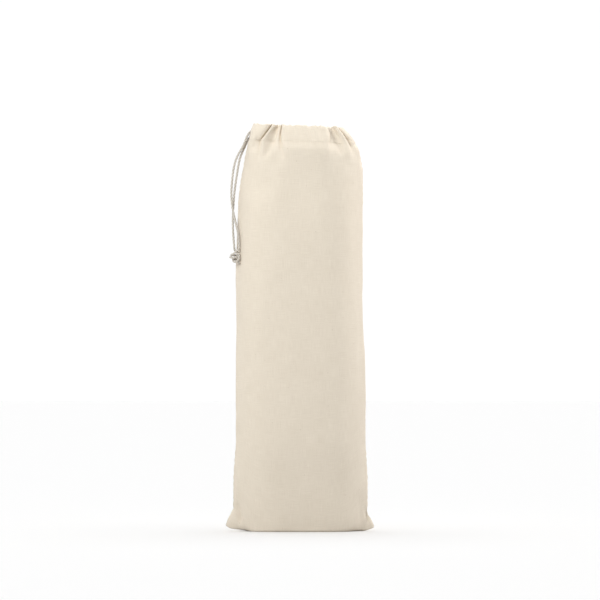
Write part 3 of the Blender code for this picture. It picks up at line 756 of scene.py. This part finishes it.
def lengths_up(grid):
    """How far up the cloth each point of the grid lies, along its own column on the
    standing bottom, and as in the middle of the front from some way above it."""
    steps = np.linalg.norm(np.diff(grid, axis=0), axis=2)
    own = np.vstack((np.zeros(grid.shape[1]), np.cumsum(steps, axis=0)))
    middle = own[:, COLUMNS // 2]
    bottom = (len(BASE_STAGES) - 1) * BASE_FINE
    short = middle[bottom] - own[bottom]
    above = middle - middle[bottom]
    evened = middle[:, None] - short * (1.0 - ease(above / EVEN_AGAIN))[:, None]
    return np.where(above[:, None] < 0.0, own, evened)


def make_cloth(material):
    grid, depths, layers = cloth_grid()
    grid = grid + grid_normals(grid) * relief(grid, depths, layers)[..., None]
    around = grid.shape[1]
    cloth_v = lengths_up(grid)
    cloth_u = np.arange(around + 1) * FLAT_WIDTH / COLUMNS

    mesh = bmesh.new()
    verts = [[mesh.verts.new(point * MM) for point in line] for line in grid[1:]]
    fold = [mesh.verts.new(point * MM) for point in grid[0][:COLUMNS + 1]]
    verts.insert(0, fold + fold[-2:0:-1])  # both sides share the fold's points
    mesh.loops.layers.uv.new("cloth")
    casing_starts = int(np.argmax(depths <= CASING))

    def in_slit(row, column):
        beside_seam = min(cloth_u[column], cloth_u[around] - cloth_u[column + 1]) < SLIT
        return row >= casing_starts and beside_seam

    def uv_at(row, column):
        return cloth_u[column] * MM, cloth_v[row, column % around] * MM

    add_faces(mesh, verts, uv_at, in_slit)
    bmesh.ops.delete(mesh, geom=[v for v in mesh.verts if not v.link_faces], context="VERTS")
    cloth = add_mesh("bag_cloth", mesh, material)
    solid = cloth.modifiers.new("thickness", "SOLIDIFY")
    solid.thickness = CLOTH * MM
    solid.offset = 1.0
    return cloth, grid, depths


# -------- the cord


def curve_through(route, step):
    """Evenly spaced points of the natural cubic curve through a route's points."""
    route = np.asarray(route, float)
    run = running_length(*route.T)
    gap = np.diff(run)
    count = len(route)
    system, target = np.eye(count), np.zeros((count, 3))
    for i in range(1, count - 1):
        system[i, i - 1:i + 2] = gap[i - 1], 2.0 * (gap[i - 1] + gap[i]), gap[i]
    target[1:-1] = 6.0 * np.diff(np.diff(route, axis=0) / gap[:, None], axis=0)
    bend = np.linalg.solve(system, target)
    fine = np.linspace(0.0, run[-1], SAMPLES * 3)
    span = np.clip(np.searchsorted(run, fine, side="right") - 1, 0, count - 2)
    before, after = (fine - run[span])[:, None], (run[span + 1] - fine)[:, None]
    h = gap[span][:, None]
    a, b = bend[span], bend[span + 1]
    curve = (
        (a * after ** 3 + b * before ** 3) / (6.0 * h)
        + (route[span] / h - a * h / 6.0) * after
        + (route[span + 1] / h - b * h / 6.0) * before
    )
    length = running_length(*curve.T)
    places = np.linspace(0.0, length[-1], round(length[-1] / step) + 1)
    return np.column_stack([np.interp(places, length, curve[:, k]) for k in range(3)])


def cord_line(route, into_start, into_end):
    """Fine middle line of a cord whose two ends are straight along the given directions."""
    start, end = np.array(route[0]), np.array(route[-1])
    inner = [start + into_start * CORD_LEAD, *route[1:-1], end + into_end * CORD_LEAD]
    return np.vstack((start, curve_through(inner, RING_STEP), end))


def strand_line(route):
    """Middle line of a hanging strand, down to the knot."""
    return cord_line(route, unit(np.subtract(route[1], route[0])), np.array((0.0, 0.0, 1.0)))


def tunnel_row(side, columns, depth):
    """Middle line of the casing's tunnel, which runs straight from edge to edge."""
    inwards = (TUNNEL_OUT - TUNNEL_IN) / 2.0
    upper = level_row(side, columns, RIM - TUNNEL_TOP, inwards, 0.0)
    lower = level_row(side, columns, RIM - TUNNEL_FOOT, inwards, 0.0)
    share = ((TUNNEL_FOOT - depth) / (TUNNEL_FOOT - TUNNEL_TOP))[:, None]
    points = lower + (upper - lower) * share
    height = RIM - depth
    return np.column_stack((points, height + rim_rise(points[:, 0], RIM)))


def casing_line():
    """Middle line of the cord inside the casing, from the front edge of the slit round
    to the back one."""
    columns = np.arange(2.0 * CASING_STEP, FLAT_WIDTH + 1.0, CASING_STEP)
    start, end = np.array(INNER_ROUTE[0]), np.array(OUTER_ROUTE[0])
    depths = RIM + rim_rise(start[0], RIM) - np.array((start[2], end[2]))
    share = columns / FLAT_WIDTH / 2.0
    front = tunnel_row(FRONT, columns, depths[0] + (depths[1] - depths[0]) * share)
    back = tunnel_row(BACK, columns, depths[1] + (depths[0] - depths[1]) * share)
    into_front = unit(start - INNER_ROUTE[1])
    into_back = unit(end - OUTER_ROUTE[1])
    return cord_line([start, *front[1:], *back[-2:0:-1], end], into_front, into_back)


def knot_line(run):
    """Middle line of one strand through the knot, from its top to the tip of its tail."""
    return curve_through([run.route[-1], *(np.array(KNOT_AT) + run.places)], RING_STEP)


def carried_frames(line):
    """Two directions square to a line at each of its points, carried along it untwisted."""
    way = unit(np.gradient(line, axis=0))
    side = unit(np.cross(way[0], RING_FROM))
    sides = [side]
    for ahead in way[1:]:
        side = unit(side - ahead * np.dot(side, ahead))
        sides.append(side)
    sides = np.array(sides)
    return sides, np.cross(way, sides)


def add_cord(mesh, line, diameters, first_length=0.0):
    """A twisted cord along a line, whose diameter is given at each point."""
    length = first_length + running_length(*line.T)
    theta = np.arange(RING_POINTS) * math.tau / RING_POINTS
    groove = PLY_GROOVE * (1.0 - np.abs(np.cos(PLIES / 2.0 * theta)))
    rings = []
    for point, side, up, along, wide in zip(line, *carried_frames(line), length, diameters):
        radius = wide / 2.0 * (1.0 - groove / (CORD / 2.0))
        rings.append(add_ring(mesh, point, side, up, radius, theta + math.tau * along / CORD_LAY))
    add_tube(mesh, rings, lambda row, column: (column / RING_POINTS, length[row] * MM))


def make_cord(name, line, material):
    mesh = bmesh.new()
    add_cord(mesh, line, np.full(len(line), CORD))
    return add_mesh(name, mesh, material)


def tail_diameters(line):
    """The cord is pulled tight in the knot, and flares a little at its cut end."""
    length = running_length(*line.T)
    left = length[-1] - length
    size = KNOT_CORD + (CORD - KNOT_CORD) * np.exp(-length / TIGHTENS_OVER)
    size = size * (1.0 + TAIL_FLARE * np.exp(-left / FLARE_LENGTH))
    return size * np.where(left < TAIL_TIP, TIP_SHARE, 1.0)


def add_fray(mesh, tip, way, seed):
    """Loose fibres at the cut end of a cord."""
    made = np.random.default_rng(seed)
    side = unit(np.cross(way, FIBRE_FROM))
    up = np.cross(way, side)
    for _ in range(FIBRES):
        angle, off = made.uniform(0.0, math.tau), made.uniform(*FIBRE_OFF)
        lean, length = made.uniform(*FIBRE_LEAN), made.uniform(*FIBRE_LENGTH)
        out = side * math.cos(angle) + up * math.sin(angle)
        root = tip + out * off - way * FIBRE_ROOT
        curl = unit(made.normal(size=3)) * FIBRE_CURL
        rings = []
        for t, size in FIBRE_RADII:
            place = root + way * t * (length + FIBRE_ROOT) + (out * lean * length + curl) * t * t
            rings.append(add_ring(mesh, place, side, up, size, FIBRE_CORNERS))
        add_tube(mesh, rings)


def make_knot(material):
    mesh = bmesh.new()
    for seed, run in enumerate(KNOT_RUNS, FIBRE_SEED):
        line = knot_line(run)
        strand = running_length(*strand_line(run.route).T)[-1]
        add_cord(mesh, line, tail_diameters(line), strand)
        add_fray(mesh, line[-1], unit(line[-1] - line[-4]), seed)
    return add_mesh("cord_knot", mesh, material)


# -------- the sewing


def grid_point(grid, normals, row, column):
    """Place and outward direction on the grid, between its points."""
    low, part = int(column) % grid.shape[1], column % 1.0
    high = (low + 1) % grid.shape[1]
    place = grid[row, low] * (1.0 - part) + grid[row, high] * part
    return place, unit(normals[row, low] * (1.0 - part) + normals[row, high] * part)


def add_stitch(mesh, ends, normal):
    """One raised stitch between two places, lying on the cloth."""
    start, end = ends
    run = unit(end - start)
    side = np.cross(normal, run)
    rings = []
    for t, width in STITCH_WIDTHS:
        radius = THREAD / 2.0 * width
        lift = STITCH_LIFT + STITCH_ARCH * math.sin(math.pi * t)
        middle = start + (end - start) * t + normal * lift
        rings.append(add_ring(mesh, middle, side, normal * STITCH_FLAT, radius, STITCH_CORNERS))
    add_tube(mesh, rings)


def make_stitches(grid, depths, material):
    """The line of stitches that holds the casing, outside and inside the mouth."""
    mesh = bmesh.new()
    normals = grid_normals(grid)
    pitch = FLAT_WIDTH / COLUMNS
    outer = int(np.argmax(depths <= CASING)) + 1
    inner = len(depths) - 2
    for row, shift in ((outer, 0.0), (inner, STITCH_STEP / 2.0)):
        places = np.arange(SLIT + shift, 2.0 * FLAT_WIDTH - SLIT - STITCH, STITCH_STEP)
        for place in places:
            ends = []
            for along in (place, place + STITCH):
                at, normal = grid_point(grid, normals, row, along / pitch)
                ends.append(at + normal * CLOTH)
            add_stitch(mesh, ends, normal)
    return add_mesh("hem_stitches", mesh, material)


# -------- materials


class Nodes:
    """Adds nodes to the tree of a material or a world and links them."""

    def __init__(self, owner, shader="Principled BSDF"):
        owner.use_nodes = True
        self.owner = owner
        self.tree = owner.node_tree
        self.shader = self.tree.nodes[shader]

    def add(self, kind, *values, settings=None, **inputs):
        """A new node, with its first inputs in order and others by name."""
        node = self.tree.nodes.new(kind)
        for key, value in (settings or {}).items():
            setattr(node, key, value)
        for key, value in (*enumerate(values), *inputs.items()):
            self.put(node, key, value)
        return node

    def put(self, node, key, value):
        """Set a node's input or link it. An underscore in its name stands for a space."""
        socket = node.inputs[key.replace("_", " ") if isinstance(key, str) else key]
        if isinstance(value, bpy.types.NodeSocket):
            self.tree.links.new(value, socket)
        else:
            socket.default_value = value

    def finish(self, **inputs):
        """Set or link the shader's inputs."""
        for key, value in inputs.items():
            self.put(self.shader, key, value)

    def math(self, operation, *values):
        return self.add("ShaderNodeMath", *values, settings={"operation": operation}).outputs[0]

    def weighted(self, first, *others):
        """Sum of values, each with its weight."""
        total = self.math("MULTIPLY", *first)
        for value, weight in others:
            total = self.math("ADD", total, self.math("MULTIPLY", value, weight))
        return total

    def place(self, name):
        return self.add("ShaderNodeTexCoord").outputs[name]

    def split(self, vector):
        return self.add("ShaderNodeSeparateXYZ", Vector=vector).outputs

    def scaled(self, vector, scale):
        return self.add("ShaderNodeMapping", Vector=vector, Scale=(*scale, 1.0)).outputs[0]

    def noise(self, place, scale, **inputs):
        node = self.add("ShaderNodeTexNoise", Vector=place, Scale=scale, **inputs)
        return node.outputs["Fac"]

    def spread(self, value, low, high, to_low=0.0, to_high=1.0):
        return self.add("ShaderNodeMapRange", value, low, high, to_low, to_high).outputs[0]

    def mixed(self, share, first, second):
        """A mix of two colours, the node's inputs 6 and 7."""
        node = self.add("ShaderNodeMix", share, settings={"data_type": "RGBA"})
        self.put(node, 6, first)
        self.put(node, 7, second)
        return node.outputs[2]

    def bump(self, height, strength, distance):
        node = self.add("ShaderNodeBump", Height=height, Strength=strength, Distance=distance * MM)
        return node.outputs[0]


def cotton_material():
    """Plain-woven natural cotton: threads both ways, slubs, seed flecks, faint mottling."""
    n = Nodes(bpy.data.materials.new("natural_cotton_cloth"))
    place = n.scaled(n.place("UV"), (1.0 / MM, 1.0 / MM))
    across, up, _ = n.split(place)
    warp = n.math("SINE", n.math("MULTIPLY", across, math.pi / WARP))
    weft = n.math("SINE", n.math("MULTIPLY", up, math.pi / WEFT))
    over = n.math("POWER", n.math("ABSOLUTE", n.math("MULTIPLY", warp, weft)), THREAD_TOPS)

    slub_up = n.noise(n.scaled(place, SLUBS_UP), 1.0, Detail=2.0, Roughness=0.55)
    slub_across = n.noise(n.scaled(place, SLUBS_ACROSS), 1.0, Detail=2.0, Roughness=0.55)
    grain = n.noise(place, GRAIN, Detail=3.0, Roughness=0.65)
    mottle = n.noise(place, MOTTLE, Detail=3.0, Roughness=0.5)
    tone = n.weighted((slub_up, 0.36), (slub_across, 0.36), (grain, 0.18), (mottle, 0.12))
    colour = n.mixed(n.spread(tone, *TONES), *COTTON_COLOURS)

    cells = n.scaled(place, FLECK_CELLS)
    spots = n.add("ShaderNodeTexVoronoi", Vector=cells, Scale=1.0, Randomness=1.0)
    chosen = n.add("ShaderNodeSeparateColor", Color=spots.outputs["Color"]).outputs[0]
    near = n.spread(spots.outputs["Distance"], *FLECK_SIZE, 1.0, 0.0)
    fleck = n.math("MULTIPLY", near, n.math("GREATER_THAN", chosen, FLECKS_FROM))
    colour = n.mixed(n.math("MULTIPLY", fleck, FLECK_STRENGTH), colour, FLECK_COLOUR)

    height = n.weighted((over, 0.5), (slub_up, 0.5), (slub_across, 0.5), (grain, 0.35))
    n.finish(Base_Color=colour, Roughness=n.spread(grain, 0.3, 0.7, to_low=0.86, to_high=0.97),
             Specular_IOR_Level=0.25, Sheen_Weight=0.25, Sheen_Roughness=0.55,
             Sheen_Tint=(1.0, 0.96, 0.90, 1.0), Normal=n.bump(height, strength=0.55, distance=0.22))
    return n.owner


def cord_material():
    """Twisted cotton: each ply's own fine yarns, with painted shade in the grooves between the plies."""
    n = Nodes(bpy.data.materials.new("natural_cotton_cord"))
    turn, along, _ = n.split(n.place("UV"))
    # Painted shade: the ply term is lightest on each ply's crown and darkest in the grooves between the
    # plies.
    painted_ply_shade = n.math("ABSOLUTE", n.math("COSINE", n.math("MULTIPLY", turn, PLIES * math.pi)))
    wind = n.weighted((turn, YARNS_ROUND), (n.math("DIVIDE", along, MM), -YARNS_ALONG))
    yarn = n.math("ABSOLUTE", n.math("SINE", n.math("MULTIPLY", wind, math.pi)))
    place = n.place("Object")
    fuzz = n.noise(place, FUZZ, Detail=3.0, Roughness=0.6)
    dirt = n.noise(place, DIRT, Detail=2.0, Roughness=0.5)
    tone = n.weighted((painted_ply_shade, 0.45), (yarn, 0.25), (fuzz, 0.35), (dirt, 0.2))
    height = n.weighted((yarn, 0.6), (fuzz, 0.7))
    n.finish(Base_Color=n.mixed(n.spread(tone, *CORD_TONES), *CORD_COLOURS), Roughness=0.95,
             Specular_IOR_Level=0.2, Sheen_Weight=0.2, Sheen_Roughness=0.6,
             Normal=n.bump(height, strength=0.6, distance=0.2))
    return n.owner


def thread_material():
    """Sewing thread, a little lighter than the cloth."""
    n = Nodes(bpy.data.materials.new("sewing_thread"))
    fuzz = n.noise(n.place("Object"), THREAD_FUZZ, Detail=2.0, Roughness=0.5)
    n.finish(Base_Color=n.mixed(fuzz, *THREAD_COLOURS), Roughness=0.7,
             Normal=n.bump(fuzz, strength=0.4, distance=0.1))
    return n.owner


def floor_material():
    n = Nodes(bpy.data.materials.new("pale_floor"))
    n.finish(Base_Color=FLOOR_COLOUR, Roughness=0.9)
    return n.owner


# -------- the studio


def make_camera():
    lens = bpy.data.cameras.new("camera")
    lens.angle = 2.0 * math.atan(VIEW_WIDTH / 2.0 / CAMERA_AWAY)
    camera = add_object("camera", lens)
    camera.location = (0.0, -CAMERA_AWAY * MM, CAMERA_HEIGHT * MM)
    camera.rotation_euler = (math.pi / 2.0, 0.0, 0.0)
    bpy.context.scene.camera = camera


def make_world():
    """A room with a white wall behind the bag, dimmer overhead and in front. Wherever
    nothing stands before it, it is seen white."""
    n = Nodes(bpy.data.worlds.new("studio"), "Background")
    _, behind, up = n.split(n.place("Generated"))
    low = n.spread(up, WALL_TOP + TOP_FADE, WALL_TOP)
    behind = n.spread(behind, WALL_SIDE - SIDE_FADE, WALL_SIDE)
    level = n.spread(n.math("MULTIPLY", low, behind), 0.0, 1.0, ROOM_LIGHT, WALL_LIGHT)
    seen = n.add("ShaderNodeLightPath").outputs["Is Camera Ray"]
    n.finish(Color=(1.0, 1.0, 1.0, 1.0), Strength=n.math("MAXIMUM", level, seen))
    bpy.context.scene.world = n.owner


def add_light(name, kind, **settings):
    light = bpy.data.lights.new(name, kind)
    for key, value in settings.items():
        setattr(light, key, value)
    return add_object(name, light)


def aim(item, target):
    away = np.array(item.location) - target
    across = math.hypot(away[0], away[1])
    item.rotation_euler = (math.atan2(across, away[2]), 0.0, math.atan2(away[0], -away[1]))


def make_studio():
    make_world()
    bpy.context.scene.view_settings.view_transform = "Standard"
    overhead = add_light("overhead", "SUN", energy=OVERHEAD_POWER, angle=math.radians(OVERHEAD_WIDTH))
    overhead.rotation_euler = (math.radians(-OVERHEAD_TILT), 0.0, 0.0)

    mesh = bmesh.new()
    corners = np.array(((-1, -1, 0), (1, -1, 0), (1, 1, 0), (-1, 1, 0))) * FLOOR_REACH * MM
    mesh.faces.new([mesh.verts.new(corner) for corner in corners])
    floor = add_mesh("floor", mesh, floor_material())

    unlit = bpy.data.collections.new("not_lit_by_the_lamps")
    unlit.objects.link(floor)
    unlit.collection_objects[0].light_linking.link_state = "EXCLUDE"
    for lamp in LAMPS:
        item = add_light(lamp.name, "AREA", shape="RECTANGLE", size=lamp.width * MM,
                         size_y=lamp.height * MM, energy=lamp.power, color=lamp.colour)
        item.location = np.multiply(lamp.place, MM)
        aim(item, np.multiply(lamp.target, MM))
        item.light_linking.receiver_collection = unlit


def main():
    cotton, cord, thread = cotton_material(), cord_material(), thread_material()
    make_camera()

    knot = make_knot(cord)
    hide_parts("drawstring_knot")
    loop = make_cord("cord_in_casing", casing_line(), cord)
    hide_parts("drawstring_in_casing")
    strands = []
    for name, node, route in (("cord_outer", "drawstring_strand_outer", OUTER_ROUTE),
                              ("cord_inner", "drawstring_strand_inner", INNER_ROUTE)):
        line = strand_line(route)
        strand = make_cord(name, line, cord)
        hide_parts(node)
        running_length(*line.T)[-1] * MM
        strands.append(strand)

    cloth, grid, depths = make_cloth(cotton)
    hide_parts("bag_body")
    stitches = make_stitches(grid, depths, thread)
    length = 2.0 * running_length(*grid[:, COLUMNS // 2].T)[-1]

    slots = {"natural_cotton": (cloth, stitches), "cotton_cord": (knot, loop, *strands)}
    for slot, pieces in slots.items():
        for piece in pieces:
            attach(piece, "root")

    make_studio()


main()
